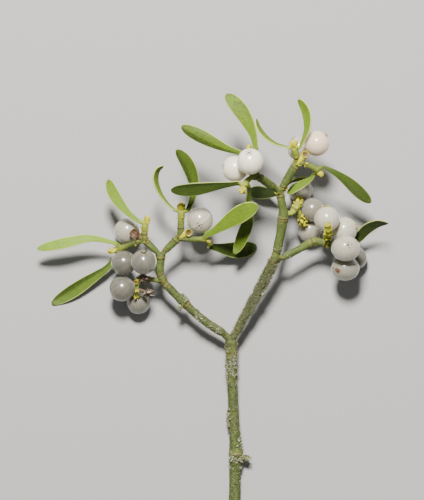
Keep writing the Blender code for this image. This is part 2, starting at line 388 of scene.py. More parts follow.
# %% Read the line of a leaf
def read_leaf(node):
    """A leaf's foot, its rings as (middle, side, half width, depth), and its tip."""
    foot, rings, tip = rings_of(node)
    rows = []
    for ring in rings:
        left, right = max(((a, b) for a in ring for b in ring),
                          key=lambda pair: (pair[0] - pair[1]).length)
        flanks = [corner for corner in ring if corner not in (left, right)]
        rows.append([(left + right) / 2, right - left, middle(flanks)])
    if rows[0][1].length > rows[-1][1].length:
        rows.reverse()
        foot, tip = tip, foot
    previous = None
    found = []
    for i, (at, side, flank) in enumerate(rows):
        ahead = rows[min(i + 1, len(rows) - 1)][0] - rows[max(i - 1, 0)][0]
        half = side.length / 2
        side = side.normalized()
        if side.cross(ahead).z < 0 if previous is None else side.dot(previous) < 0:
            side = -side
        previous = side
        face = side.cross(ahead.normalized())
        found.append((at, side, half, (flank - at).dot(face)))
    return foot, found, tip


leaves = {node: read_leaf(node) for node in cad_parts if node.startswith("leaf_")}
print("leaves read:", len(leaves))

# %% [markdown]
# ## The shoots
# Mistletoe forks at every joint.  The shoots in the frame stop a hair's breadth from each
# other, and on the real plant the bark runs on over the joint.  So each shoot's line is
# drawn from inside the shoot it grows on, given its thickness, and all of them are then
# melted into one skin.

# %% Say which shoot grows on which
GROWS_ON = {
    "left_branch": "main_stem",
    "right_branch": "main_stem",
    "left_upper_branch": "left_branch",
    "left_fruit_spur": "left_branch",
    "left_outer_branch": "left_upper_branch",
    "left_inner_branch": "left_upper_branch",
    "left_outer_twig": "left_outer_branch",
    "left_side_twig": "left_outer_branch",
    "left_inner_twig": "left_inner_branch",
    "left_front_twig": "left_inner_branch",
    "right_mid_branch": "right_branch",
    "right_low_branch": "right_branch",
    "right_fruit_spur": "right_mid_branch",
    "right_fruit_fork": "right_fruit_spur",
    "centre_branch": "right_mid_branch",
    "back_twig": "right_mid_branch",
    "top_branch": "right_mid_branch",
    "centre_front_twig": "centre_branch",
    "centre_back_twig": "centre_branch",
    "top_left_twig": "top_branch",
    "top_right_twig": "top_branch",
    "right_cluster_spur": "right_low_branch",
    "right_tip_twig": "right_low_branch",
}
SPREAD_INTO = 1.1         # a shoot's root may be this much thicker than its first ring


def nearest_on(rows, point):
    """The gap to the nearest point of a line, that point, and the line's radius there."""
    best = None
    for a, b in zip(rows, rows[1:]):
        line = b.xyz - a.xyz
        share = min(max((point - a.xyz).dot(line) / line.length_squared, 0), 1)
        at = a.xyz + line * share
        gap = (point - at).length
        if best is None or gap < best[0]:
            best = (gap, at, a.w + (b.w - a.w) * share)
    return best


def with_size(points, size):
    """A point that carries a radius as its fourth number."""
    return Vector((*points, size))


def read_shoot(node):
    """The line of a shoot as points with their radius."""
    _, rings, _ = rings_of(node)
    return [with_size(middle(ring), (ring[0] - middle(ring)).length) for ring in rings]


shoots = {}
for node in ["main_stem", *GROWS_ON]:
    line = read_shoot(node)
    if node == "main_stem":
        if line[0].y > line[-1].y:
            line.reverse()
    else:
        parent = shoots[GROWS_ON[node]]
        if nearest_on(parent, line[-1].xyz)[0] < nearest_on(parent, line[0].xyz)[0]:
            line.reverse()
        _, at, size = nearest_on(parent, line[0].xyz)
        line.insert(0, with_size(at, min(size, line[0].w * SPREAD_INTO)))
    shoots[node] = line
print("shoots read:", len(shoots))

# %% Draw one shoot
SHOOT_STEP = 0.8 * MM
THINNEST = 0.25 * MM      # the least radius of a shoot
SHOOT_BEVEL = 4           # twelve corners all round


def sweep(rows, bevel):
    """A round wire through points that carry its radius."""
    bpy.ops.curve.primitive_nurbs_path_add(location=(0, 0, 0))
    wire = bpy.context.object
    wire.data.splines.clear()
    spline = wire.data.splines.new("POLY")
    spline.points.add(len(rows) - 1)
    for point, row in zip(spline.points, rows):
        point.co = (*row.xyz, 1)
        point.radius = row.w / MM
    wire.data.bevel_depth = MM
    wire.data.bevel_resolution = bevel
    wire.data.use_fill_caps = True
    only(wire)
    bpy.ops.object.convert(target="MESH")
    return bpy.context.object


def draw_shoot(line):
    """A round twig along points that carry their radius, or (point, radius) pairs."""
    line = [p if isinstance(p, Vector) else with_size(*p) for p in line]
    steps = max(int(lengths_along(line)[-1] / SHOOT_STEP), 4)
    rows = [smooth_between(line, at) for at in even_places(line, steps)]
    return sweep([with_size(row.xyz, max(row.w, THINNEST)) for row in rows], SHOOT_BEVEL)


# %% Draw them all, with the leaves' stalks
BUDS = {  # the twig: its bud's length and width in millimetres, and how dry it is
    "left_outer_twig": (3.7, 2.7, 0.1), "left_side_twig": (4.0, 2.3, 0.1),
    "left_inner_twig": (3.4, 3.3, 0.1), "left_front_twig": (2.6, 2.2, 0.6),
    "centre_front_twig": (3.4, 2.9, 0.1), "centre_back_twig": (3.0, 2.6, 0.1),
    "back_twig": (2.4, 1.8, 0.1), "top_left_twig": (3.4, 3.0, 0.05),
    "top_right_twig": (2.6, 2.6, 0.1), "right_tip_twig": (2.4, 2.0, 0.4),
}
BUD_SUNK = 0.85           # of a bud's length, the twig stops before its end
STALK_WIDE = 0.95 * MM
STALK_NARROW = 0.62 * MM
STALK_TIP = 0.3 * MM
STALK_REACH = 1.2 * MM    # into the leaf
CUT_STEPS = 60


def nearest_shoot_point(point):
    """The gap to the nearest shoot, the point on its line, and its radius there."""
    return min((nearest_on(line, point) for line in shoots.values()), key=lambda f: f[0])


def shortened(line, less):
    """The line without the given length at its far end."""
    places = even_places(line, CUT_STEPS + 1)
    keep = max(int(round(CUT_STEPS * (1 - less / lengths_along(line)[-1]))), 12)
    return [smooth_between(line, places[i]) for i in range(0, keep + 1, 3)]


tubes = []
bud_feet = {}
for node, line in shoots.items():
    if node in BUDS:
        line = shortened(line, BUDS[node][0] * MM * BUD_SUNK)
        bud_feet[node] = line[-1].xyz
    tubes.append(draw_shoot(line))
for foot, rows, tip in leaves.values():
    gap, root, _ = nearest_shoot_point(foot)
    onward = (rows[0][0] - root).normalized()
    tubes.append(draw_shoot([
        (root, STALK_WIDE), (foot - onward * gap * 0.3, STALK_WIDE * 0.85),
        (foot, STALK_NARROW), (foot + onward * STALK_REACH, STALK_TIP)]))
print("tubes drawn:", len(tubes))

# %% [markdown]
# Where shoots meet, the joint is swollen, and the bark shows a raised ring where the old
# bud scales fell off.  The swellings are balls and the rings are thin tori, each laid
# square to its shoot, so that the melted skin keeps a real ridge.

# %% Add swellings and rings at the joints
def listed(table):
    """Every row of a table, each with the name that it is listed under."""
    return [(name, *row) for name, rows in table.items() for row in rows]


def along(node, share):
    """The point, direction and radius of a shoot at a share of its length."""
    line = shoots[node]
    at = np.interp(share, np.linspace(0, 1, 101), even_places(line, 101))
    here = smooth_between(line, at)
    ahead = smooth_between(line, min(at + 0.05, len(line) - 1))
    back = smooth_between(line, max(at - 0.05, 0))
    return here.xyz, (ahead.xyz - back.xyz).normalized(), here.w


RINGS = {  # for each shoot: where on it, and the ring's size beside the shoot's
    "main_stem": [(0.365, 1.05), (0.93, 1.0)],
    "left_branch": [(0.62, 1.05), (0.66, 1.0), (0.95, 1.02)],
    "right_branch": [(0.93, 1.0), (0.14, 1.0)],
    "right_mid_branch": [(0.12, 1.02), (0.56, 1.04), (0.61, 1.04), (0.93, 1.02)],
    "right_low_branch": [(0.70, 1.03), (0.94, 1.05)],
    "left_upper_branch": [(0.3, 1.02), (0.95, 1.05)], "left_outer_branch": [(0.88, 1.04)],
    "left_inner_branch": [(0.85, 1.04), (0.3, 1.02)], "left_inner_twig": [(0.3, 1.02)],
    "left_outer_twig": [(0.3, 1.03)], "left_side_twig": [(0.22, 1.05)],
    "centre_branch": [(0.82, 1.05)], "top_branch": [(0.88, 1.04), (0.2, 1.04)],
    "top_right_twig": [(0.25, 1.05)], "top_left_twig": [(0.3, 1.05)],
    "right_fruit_spur": [(0.4, 1.05)], "right_cluster_spur": [(0.3, 1.05)],
    "centre_back_twig": [(0.3, 1.05)], "left_fruit_spur": [(0.35, 1.05)],
}
STUBS = [  # the shoot, where on it, the way to the stub's end in millimetres, its radius
    ("main_stem", 0.355, (4.7, -0.6, 0.6), 1.15), ("left_branch", 0.68, (-1.6, -2.0, 0.3), 0.9),
    ("left_branch", 0.72, (0.4, 2.1, 0.8), 0.6), ("right_branch", 0.62, (1.5, -1.9, 0.6), 0.7),
]
RING_SINK = 0.93          # the ring's line lies a little under the bark
RING_WIRE = 0.24 * MM
SWELLING = 1.06
COLLAR_REACH = {"main_stem": 1.9}   # millimetres of tan bark beside a ring, 0.9 elsewhere

ridges = []
ring_places = []
for node, share, reach, size in STUBS:
    at, _, _ = along(node, share)
    end = at + Vector(reach) * MM
    tubes.append(draw_shoot([
        (at, size * MM), (at.lerp(end, 0.7), size * MM), (end, size * 0.8 * MM)]))
for node, share, size in listed(RINGS):
    at, ahead, radius = along(node, share)
    bpy.ops.mesh.primitive_torus_add(
        location=at, rotation=ahead.to_track_quat("Z", "Y").to_euler(),
        major_radius=radius * size * RING_SINK, minor_radius=RING_WIRE,
        major_segments=24, minor_segments=8)
    ridges.append(bpy.context.object)
    ring_places.append((at, ahead, radius, COLLAR_REACH.get(node, 0.9) * MM))
for node in GROWS_ON:
    root = shoots[node][0]
    bpy.ops.mesh.primitive_ico_sphere_add(
        subdivisions=3, radius=root.w * SWELLING, location=root.xyz)
    ridges.append(bpy.context.object)
print("ridges and swellings:", len(ridges))

# %% Melt all of it into one skin
VOXEL = 0.24 * MM

bark = joined(*tubes, *ridges)
melt = bark.modifiers.new("melt", "REMESH")
melt.mode = "VOXEL"
melt.voxel_size = VOXEL
melt.use_smooth_shade = True
ease = bark.modifiers.new("ease", "SMOOTH")
ease.factor = 0.6
ease.iterations = 4
apply_all(bark)
print("bark faces:", len(bark.data.polygons))

# %% Wrinkle the skin
WRINKLE = 0.2 * MM        # how deep
CREASES = 1.7             # to a millimetre round a shoot
CREASES_ALONG = 0.35      # to a millimetre along it
LUMPS = 2.0               # to a millimetre
LUMP_SHARE = 0.7          # of a crease's depth


def nearest_shoot(points):
    """For each point: the nearest shoot, the way there from its line, and how far along."""
    best = np.full(len(points), 1e9)
    which = np.zeros(len(points), int)
    offset = np.zeros((len(points), 3))
    length = np.zeros(len(points))
    for number, line in enumerate(shoots.values()):
        so_far = 0.0
        for start, end in zip(line, line[1:]):
            a, step = np.array(start.xyz), np.array((end - start).xyz)
            share = np.clip((points - a) @ step / (step @ step), 0, 1)
            away = points - (a + share[:, None] * step)
            gap = np.linalg.norm(away, axis=1) / (start.w + (end.w - start.w) * share)
            closer = gap < best
            best[closer] = gap[closer]
            which[closer] = number
            offset[closer] = away[closer]
            length[closer] = (so_far + share * np.linalg.norm(step))[closer]
            so_far += np.linalg.norm(step)
    return which, offset, length


points = np.array([v.co[:] for v in bark.data.vertices])
normals = np.array([v.normal[:] for v in bark.data.vertices])
own_shoot, offset, length = nearest_shoot(points)
push = np.zeros(len(points))
for i, (at, away, far) in enumerate(zip(points, offset, length)):
    crease = noise.noise((Vector(away) * CREASES + Vector((0, far * CREASES_ALONG, 0))) / MM)
    push[i] = (crease + LUMP_SHARE * noise.noise(Vector(at) * LUMPS / MM)) * 0.6
points = points + normals * (push * WRINKLE)[:, None]
bark.data.vertices.foreach_set("co", points.ravel())
bark.data.update()
print("wrinkles up to", round(float(np.abs(push).max() * WRINKLE / MM), 3), "mm")

# %% Note where the bark is old, ringed or young
RING_BAND = 0.3 * MM      # the brown band's half width
YOUNG_REACH = 7.5 * MM    # of fresh bark below a bud
BUD_RADIUS = 0.75 * MM    # a shoot that ends thinner than this ends in a bud
FRESHNESS = {"left_front_twig": 0.45, "top_right_twig": 0.4, "left_side_twig": 0.8,
             "centre_back_twig": 0.6}
FRESH_SPURS = {"right_cluster_spur": 0.8, "right_fruit_spur": 0.8, "right_fruit_fork": 0.8}
OLD_SHOOTS = {"main_stem": 0.5, "left_branch": 0.45, "right_branch": 1.0}


def store(piece, name, values):
    """Keeps one number for each corner of the mesh, or the same for all, under a name."""
    numbers = np.zeros(len(piece.data.vertices), np.float32)
    numbers[:] = values
    piece.data.attributes.new(name, "FLOAT", "POINT").data.foreach_set("value", numbers)


def by_shoot(amounts):
    """For each corner of the bark, the amount of its own shoot."""
    return np.array([amounts.get(node, 0.0) for node in shoots])[own_shoot]


ringed = np.zeros(len(points))
collar = np.zeros(len(points))
for at, ahead, radius, reach in ring_places:
    offset = points - np.array(at)
    from_ring = np.abs(offset @ np.array(ahead))
    near = np.linalg.norm(offset, axis=1) < radius * 1.5 + reach
    ringed = np.maximum(ringed, near * np.clip(1.4 - from_ring / RING_BAND, 0, 1))
    collar = np.maximum(collar, near * np.clip(1.5 - from_ring / reach, 0, 1))
tips = {node: line[-1].xyz for node, line in shoots.items() if line[-1].w < BUD_RADIUS}
young = by_shoot(FRESH_SPURS)
for node, tip in tips.items():
    distance = np.linalg.norm(points - np.array(tip), axis=1)
    amount = np.clip(1.25 - distance / YOUNG_REACH, 0, 1) * FRESHNESS.get(node, 1.0)
    young = np.maximum(young, amount)
store(bark, "ringed", ringed)
store(bark, "collar", collar)
store(bark, "young", young)
store(bark, "old", by_shoot(OLD_SHOOTS))
print("bud tips:", len(tips), " ringed corners:", int((ringed > 0.5).sum()))

# %% [markdown]
# ### The bark's colour
# Mistletoe bark stays green for years.  It is olive with paler flecks where lichen
# begins, brown in the rings of the joints, and fresh yellow-green near the buds.

# %% Mix the bark
recipe = Recipe("olive_bark")
fine = recipe.mottle(2600.0, detail=4.0)
patches = recipe.mottle(330.0).step(0.3, 0.7)
grains = recipe.mottle(1900.0, rough=0.7)
pits = recipe.mottle(1500.0, rough=0.7)
old = recipe.stored("old")
fresh = recipe.blend(patches, (0.044, 0.073, 0.006), (0.080, 0.122, 0.011))
aged = recipe.blend(patches, (0.030, 0.038, 0.005), (0.062, 0.074, 0.009))
skin = recipe.coats(
    recipe.blend(old, fresh, aged),
    (fine.step(0.45, 0.70) * 0.4, (0.17, 0.20, 0.04)),                        # flecks
    (grains.step(0.52, 0.60) * (0.3 + old * 0.35), (0.19, 0.20, 0.065)),      # grain
    (pits.step(0.49, 0.41) * (0.35 + old * 0.65), (0.016, 0.018, 0.005)),     # pits
    (recipe.stored("young") * 0.9, (0.34, 0.40, 0.025)),
    (recipe.stored("collar") * grains.step(0.4, 0.6) * 0.6, (0.26, 0.26, 0.05)),
    (recipe.stored("ringed") * fine.step(0.30, 0.5) * 0.9, (0.055, 0.028, 0.008)))
recipe.finish(
    Base_Color=skin, Roughness=0.55 + fine * 0.25,
    Normal=recipe.bumps(fine + grains * 0.7, 0.7, 0.0003))
mount(bark, "bark", "bark", recipe.material, *shoots)
print("bark:", len(bark.data.polygons), "faces")

# %% [markdown]
# ## The leaves
# All leaves are one shape: a leathery blade with a rounded tip, a few faint veins that
# run lengthwise, and a thickened, paler rim, whose paleness is partly painted highlight.
# It is modelled once, flat and straight, from a grid: given thickness, its rim rounded,
# then its rows and columns resized.

# %% Model the flat blade
BLADE_LENGTH = 24 * MM
BLADE_WIDTH = 5 * MM
BLADE_THICKNESS = 0.78 * MM
BLADE_ROWS = 56
BLADE_COLUMNS = 12
STALK_SHARE = 0.07        # of the length, drawn in to a short stalk
LEAF_FOOT = 0.34          # width above the stalk
LEAF_BROADEST = 0.68
LEAF_ROUNDING = 1.004
CROWDING = 0.55           # how strongly the rows crowd towards both ends
VEIN_COLUMNS = (2, 4, 6, 8, 10)
VEIN_DENT = 0.86
LIFT = 10 * MM            # rows already moved wait this high, so that none moves twice


def blade_width(share):
    """The blade's width at a share of its length, as a share of its full width."""
    upper = (share - STALK_SHARE) / (1 - STALK_SHARE)
    if upper < 0:
        return LEAF_FOOT - 0.08 * min(-upper / 0.05, 1)
    if upper < LEAF_BROADEST:
        rise = upper / LEAF_BROADEST
        return LEAF_FOOT + (1 - LEAF_FOOT) * rise * rise * (3 - 2 * rise)
    fall = (upper - LEAF_BROADEST) / (LEAF_ROUNDING - LEAF_BROADEST)
    return math.sqrt(1 - fall * fall)


def resize_rows(piece, axis, factors):
    """Resizes each row of corners; factors(place) gives the three factors."""
    shape = bmesh.from_edit_mesh(piece.data)
    places = sorted({round(corner.co[axis] / MM, 4) for corner in shape.verts})
    for place in places:
        pick(piece, lambda co: abs(co[axis] / MM - place) < 0.0002)
        bpy.ops.transform.resize(value=factors(place * MM), center_override=(0, 0, 0))
    return len(places)


def column_factors(x):
    """Thickness across the blade: full in the middle, thin at the rim, dented at veins."""
    across = abs(x) / (BLADE_WIDTH / 2)
    column = (x / BLADE_WIDTH + 0.5) * BLADE_COLUMNS
    vein = any(abs(column - v) < 0.1 for v in VEIN_COLUMNS)
    return (1, 1, (1 - 0.35 * across ** 2) * (VEIN_DENT if vein else 1))


def row_factors(y):
    """Width and thickness along the blade."""
    share = y / BLADE_LENGTH + 0.5
    stout = 1 + 0.5 * max(1 - share / 0.14, 0)
    slim = 1 - 0.35 * max((share - 0.8) / 0.2, 0)
    return (blade_width(share), 1, stout * slim)


bpy.ops.object.select_all(action="DESELECT")
bpy.ops.mesh.primitive_grid_add(
    x_subdivisions=BLADE_COLUMNS, y_subdivisions=BLADE_ROWS, size=1, location=(0, 0, 0))
blade = bpy.context.object
bpy.ops.object.mode_set(mode="EDIT")
bpy.ops.transform.resize(value=(BLADE_WIDTH, BLADE_LENGTH, 1), center_override=(0, 0, 0))
bpy.ops.object.mode_set(mode="OBJECT")
wall = blade.modifiers.new("wall", "SOLIDIFY")
wall.thickness = BLADE_THICKNESS
wall.offset = 0
apply_all(blade)
bpy.ops.object.mode_set(mode="EDIT")
for row in range(BLADE_ROWS + 1):
    share = row / BLADE_ROWS
    crowded = (1 - CROWDING) * share + CROWDING * (1 - math.cos(math.pi * share)) / 2
    old_y, new_y = (share - 0.5) * BLADE_LENGTH, (crowded - 0.5) * BLADE_LENGTH
    pick(blade, lambda co: co.z < LIFT / 2 and abs(co.y - old_y) < 0.002 * MM)
    bpy.ops.transform.translate(value=(0, new_y - old_y, LIFT))
bpy.ops.mesh.select_all(action="SELECT")
bpy.ops.transform.translate(value=(0, 0, -LIFT))
columns = resize_rows(blade, 0, column_factors)
rows = resize_rows(blade, 1, row_factors)
bpy.ops.object.mode_set(mode="OBJECT")
soften = blade.modifiers.new("soften", "SUBSURF")
soften.levels = soften.render_levels = 1
apply_all(blade)
print("blade:", rows, "rows,", columns, "columns,", len(blade.data.polygons), "faces")

# %% [markdown]
# Each copy of the blade is bent by a lattice, a loose cage of points.  The cage starts
# as a straight box round the flat blade, and its points are then carried to the rings of
# the leaf in the frame, so the blade follows the leaf's line, its roll and its trough.
# The cage reaches one step past the blade on every side, which keeps the curve even.

# %% Bend a copy of the blade along it
CAGE_STEPS = 14
CAGE_HEIGHT = 2 * MM
CAGE_COLUMNS = (-2, -1, 0, 1, 2)    # half widths from the middle
TROUGH_SHARE = 0.7        # of the cage's sinking that reaches the blade


def cage_rows(node):
    """Middle, side, face and depth of the leaf at equal steps, and its half width."""
    foot, rows, tip = leaves[node]
    _, root, _ = nearest_shoot_point(foot)
    middles = [root.lerp(foot, 0.35), foot] + [row[0] for row in rows] + [tip]
    sides = [rows[0][1]] * 2 + [row[1] for row in rows] + [rows[-1][1]]
    depths = [0, 0] + [row[3] for row in rows] + [0]
    places = even_places(middles, CAGE_STEPS + 1)
    found = []
    for at in (2 * places[0] - places[1], *places, 2 * places[-1] - places[-2]):
        inside = min(max(at, 0), len(sides) - 1)
        here = smooth_between(middles, at)
        ahead = smooth_between(middles, at + 0.02) - smooth_between(middles, at - 0.02)
        side = smooth_between(sides, inside)
        ahead.normalize()
        side = (side - ahead * side.dot(ahead)).normalized()
        found.append((here, side, side.cross(ahead), smooth_between(depths, inside)))
    return found, max(row[2] for row in rows)


def bend_blade(node):
    """A copy of the flat blade, carried to a leaf of the frame."""
    only(blade)
    bpy.ops.object.duplicate()
    leaf = bpy.context.object
    found, half = cage_rows(node)
    bpy.ops.object.add(type="LATTICE", location=(0, 0, 0))
    cage = bpy.context.object
    cage.data.points_u = len(CAGE_COLUMNS)
    cage.data.points_v = len(found)
    cage.data.points_w = 2
    cage.data.interpolation_type_u = "KEY_CATMULL_ROM"
    cage.data.interpolation_type_v = "KEY_CATMULL_ROM"
    cage.data.interpolation_type_w = "KEY_LINEAR"
    scale = Vector((BLADE_WIDTH * 2, BLADE_LENGTH * (CAGE_STEPS + 2) / CAGE_STEPS, CAGE_HEIGHT))
    cage.scale = scale
    goals = [here + side * half * across
             + face * (depth / TROUGH_SHARE * (1 - across * across) + w * CAGE_HEIGHT)
             for w in (-0.5, 0.5) for here, side, face, depth in found
             for across in CAGE_COLUMNS]
    for point, goal in zip(cage.data.points, goals):
        point.co_deform = [g / s for g, s in zip(goal, scale)]
    bend = leaf.modifiers.new("bend", "LATTICE")
    bend.object = cage
    bpy.context.view_layer.update()
    apply_all(leaf)
    bpy.data.objects.remove(cage)
    return leaf


bent = {node: bend_blade(node) for node in leaves}
bpy.data.objects.remove(blade)
print("leaves bent:", len(bent))

# %% [markdown]
# ### The leaves' colour
# Mistletoe leaves are yellow-green, paler at the rim, which is partly painted highlight,
# with lengthwise veins that are only just lighter.  Each leaf carries its own tone, partly
# its own green and partly painted shade: leaves that lie in shade are painted darker.
# The blade's own map says how far along and how far across a point is.

# %% Mix the leaf skin
recipe = Recipe("leathery_leaf")
flat = recipe.place("UV")
across, lengthwise, _ = recipe.parts(flat)
from_middle = (across - 0.5).size() * 2
# the rim band, painted paler: partly the leaf's own paler margin, partly painted highlight along
# the edge
rim = from_middle.step(0.86, 0.95)
veins = ((from_middle * math.pi * 3).wave().size() ** 6.0) * (1 - lengthwise * 0.5)
broad = recipe.mottle(260.0, detail=2.0)
fine = recipe.mottle(2200.0)
pores = recipe.mottle(1500.0, rough=0.7)
streaks = recipe.mottle(1.0, at=recipe.stretched(flat, (26, 3, 1)), rough=0.5)
grooves = recipe.mottle(1.0, at=recipe.stretched(flat, (60, 5, 1))).step(0.42, 0.6)
blotches = recipe.mottle(700.0).step(0.44, 0.60) * lengthwise.step(0.3, 0.75)
specks = recipe.mottle(1300.0, detail=1.0).step(0.70, 0.76)
shaded = (recipe.stored("shaded_side") * (across - 0.5)).step(0.02, 0.22)
worn = (recipe.stored("worn_half") * (across - 0.5)).step(0.02, 0.3)
wear = (worn * (grooves * 0.45 + 0.45)).most(grooves * 0.2 + 0.08)
# tone: partly the leaf's own green, partly painted shade, low for leaves that lie in shade
tone = recipe.stored("tone")
dark = recipe.blend(broad, (0.009, 0.017, 0.004), (0.020, 0.036, 0.008))
light = recipe.blend(broad, (0.160, 0.298, 0.012), (0.235, 0.390, 0.022))
paler = recipe.blend(tone, (0.060, 0.085, 0.016), (0.31, 0.42, 0.03))
pale_rim_and_highlight = recipe.blend(tone, (0.36, 0.41, 0.11), (0.66, 0.70, 0.18))
skin = recipe.coats(
    recipe.blend(tone, dark, light),
    ((streaks - 0.5) * 0.8 + 0.12, paler),
    (veins * 0.2, paler),
    (shaded * 0.6, dark),
    (wear, (0.015, 0.022, 0.006)),
    (pores.step(0.50, 0.64) * 0.22, paler),
    (pores.step(0.47, 0.36) * 0.22, dark),
    (recipe.stored("blotched") * blotches * 0.7, (0.075, 0.075, 0.035)),
    (rim * 0.85, pale_rim_and_highlight),
    (lengthwise.step(0.0, 0.12) * -0.5 + 0.5, (0.30, 0.36, 0.06)),            # foot
    (specks * 0.45, (0.10, 0.11, 0.03)))
leaf_skin = recipe.finish(
    Base_Color=skin, Roughness=0.5 + fine * 0.16, Specular_IOR_Level=0.22,
    Subsurface_Weight=0.08, Subsurface_Radius=(0.3, 0.5, 0.1), Subsurface_Scale=0.0008,
    Normal=recipe.bumps(fine * 0.5 + streaks, 0.28, 0.00012))

# %% Mount the leaves, each in its own tone, which is partly painted shade
MARKS = ("tone", "shaded_side", "worn_half", "blotched")
# tone is partly the leaf's own green and partly painted shade; the shaded side is painted shade on
# one half
LEAF_MARKS = {  # tone from dark to light, shaded side, worn half, blotches
    "leaf_left_upper": (0.8, 0, 0, 0), "leaf_left_outer": (1.0, 0, 0, 0),
    "leaf_left_lower": (0.38, 1, 0, 0), "leaf_left_curled": (0.7, 0, 0, 0),
    "leaf_left_inner": (0.28, -0.8, 0, 0), "leaf_middle_front": (0.7, 0, 0, 0),
    "leaf_middle_back": (0.15, 0, 0.5, 0), "leaf_centre_left": (0.14, 0.4, 0.7, 0),
    "leaf_centre_down": (0.45, 0, 0, 0), "leaf_top_left": (0.52, 0, -2, 0.5),
    "leaf_top": (0.7, 0, 0, 0.75), "leaf_top_curled": (0.65, 0, 0, 0),
    "leaf_top_tall": (0.8, 0, 0, 0), "leaf_right_long": (0.2, 0.4, 0, 0.7),
    "leaf_right_small": (0.58, 0, 0, 0), "leaf_right_outer": (0.08, 0, 0, 0),
    "leaf_back_left": (0.0, 0, 0, 0), "leaf_back_right": (0.15, 0, 0, 0),
}
for node, leaf in bent.items():
    for mark, amount in zip(MARKS, LEAF_MARKS[node]):
        store(leaf, mark, amount)
    mount(leaf, node.replace("leaf", "blade"), "leaf", leaf_skin, node)
print("leaves mounted:", len(bent))

# %% [markdown]
# ## The berries
# A mistletoe berry is a pearly ball full of clear, sticky pulp.  At the far end it
# keeps the scar of the flower: a small dimple with four dark dots round it.  The
# stalk end is drawn out a little.  One berry is modelled with its scar at the top, and
# the copies are turned so that each scar faces its own way.

# %% Model one berry
BERRY_SIDES = 40
BERRY_RINGS = 24
DOT_LEAN = 0.21           # from the scar's middle to its dots, in berry radii
DOT_SIZE = 0.042
MIDDLE_DOT = 0.075

bpy.ops.object.select_all(action="DESELECT")
bpy.ops.mesh.primitive_uv_sphere_add(
    segments=BERRY_SIDES, ring_count=BERRY_RINGS, radius=1, location=(0, 0, 0))
fruit = bpy.context.object
bpy.ops.object.mode_set(mode="EDIT")
pick(fruit, lambda co: co.z > 0.995)                 # the dimple
bpy.ops.transform.translate(value=(0, 0, -0.055))
pick(fruit, lambda co: 0.96 < co.z < 0.985)          # its lip
bpy.ops.transform.translate(value=(0, 0, 0.008))
pick(fruit, lambda co: co.z < -0.97)                 # the stalk end
bpy.ops.transform.resize(value=(0.8, 0.8, 1), center_override=(0, 0, -1))
bpy.ops.transform.translate(value=(0, 0, -0.03))
bpy.ops.object.mode_set(mode="OBJECT")
bpy.ops.object.shade_smooth()
skin_corners = len(fruit.data.vertices)

dots = []
for turn in range(4):
    angle = math.radians(45 + 90 * turn)
    at = Vector((math.cos(angle) * DOT_LEAN, math.sin(angle) * DOT_LEAN, 0.98))
    bpy.ops.mesh.primitive_ico_sphere_add(subdivisions=2, radius=DOT_SIZE, location=at)
    dots.append(bpy.context.object)
    dots[-1].scale = (1, 1, 0.6)
bpy.ops.mesh.primitive_ico_sphere_add(
    subdivisions=2, radius=MIDDLE_DOT, location=(0, 0, 0.95))
dots.append(bpy.context.object)
for dot in dots:
    sit_still(dot)
fruit = joined(fruit, *dots)
home = fruit.data.attributes.new("home", "FLOAT_VECTOR", "POINT")
home.data.foreach_set("vector", [n for v in fruit.data.vertices for n in v.co])
store(fruit, "scar", [i >= skin_corners for i in range(len(fruit.data.vertices))])
print("berry:", len(fruit.data.polygons), "faces")

# %% [markdown]
# ### The berries' colour
# Pale lines run over the pulp from the stalk to the scar, like the lines between two
# poles.  Noise that reads only the way round the berry draws them.  Each copy keeps the
# places of the first berry, so the lines turn with it.

# %% Mix the pearly skin
recipe = Recipe("pearly_berry")
home = recipe.stored("home", output="Vector")
x, y, z = recipe.parts(home)
way_round = recipe.node("ShaderNodeVectorMath", {"operation": "NORMALIZE"},
                        {0: recipe.stretched(home, (1, 1, 0))})
lines = recipe.mottle(7.0, at=way_round, rough=0.7)
cloud = recipe.mottle(280.0, detail=2.0)
stain = recipe.mottle(1700.0, detail=4.0, rough=0.7)
crease = (x * -0.64 + y * 0.77 - 0.12).size().step(0.035, 0.012)
rust = (recipe.stored("rust") - stain * 1.15).step(-0.02, 0.10)
# pale is painted light and shade: lit berries are painted whiter and shaded ones grey, and the
# pulp, lines, clouds and scar ring follow it
pale = recipe.stored("pale")
pulp = recipe.blend(pale, (0.122, 0.115, 0.088), (0.88, 0.810, 0.610))
line = recipe.blend(pale, (0.205, 0.193, 0.150), (1.0, 0.975, 0.88))
clouded = recipe.blend(pale, (0.11, 0.105, 0.075), (0.82, 0.76, 0.57))
round_scar = recipe.blend(pale, (0.24, 0.20, 0.13), (0.60, 0.50, 0.33))
skin = recipe.coats(
    recipe.blend(lines.step(0.46, 0.66) * 0.8, pulp, line),
    (cloud * 0.25, clouded),
    (z.step(0.93, 0.985) * 0.55, round_scar),
    (recipe.stored("pink") * 0.7, (0.86, 0.62, 0.44)),
    (recipe.stored("creased") * crease * 0.8, (0.85, 0.83, 0.72)),
    (rust * 0.9, (0.12, 0.040, 0.010)),
    (recipe.stored("scar"), (0.035, 0.018, 0.010)))
berry_skin = recipe.finish(
    Base_Color=skin, Roughness=0.30 + lines * 0.08,
    Subsurface_Weight=0.6, Subsurface_Radius=(1.0, 0.95, 0.8), Subsurface_Scale=0.003,
    Coat_Weight=1.0, Coat_Roughness=0.12, IOR=1.45,
    Sheen_Weight=0.55, Sheen_Roughness=0.25,
    Normal=recipe.bumps(lines, 0.04, 0.0001))
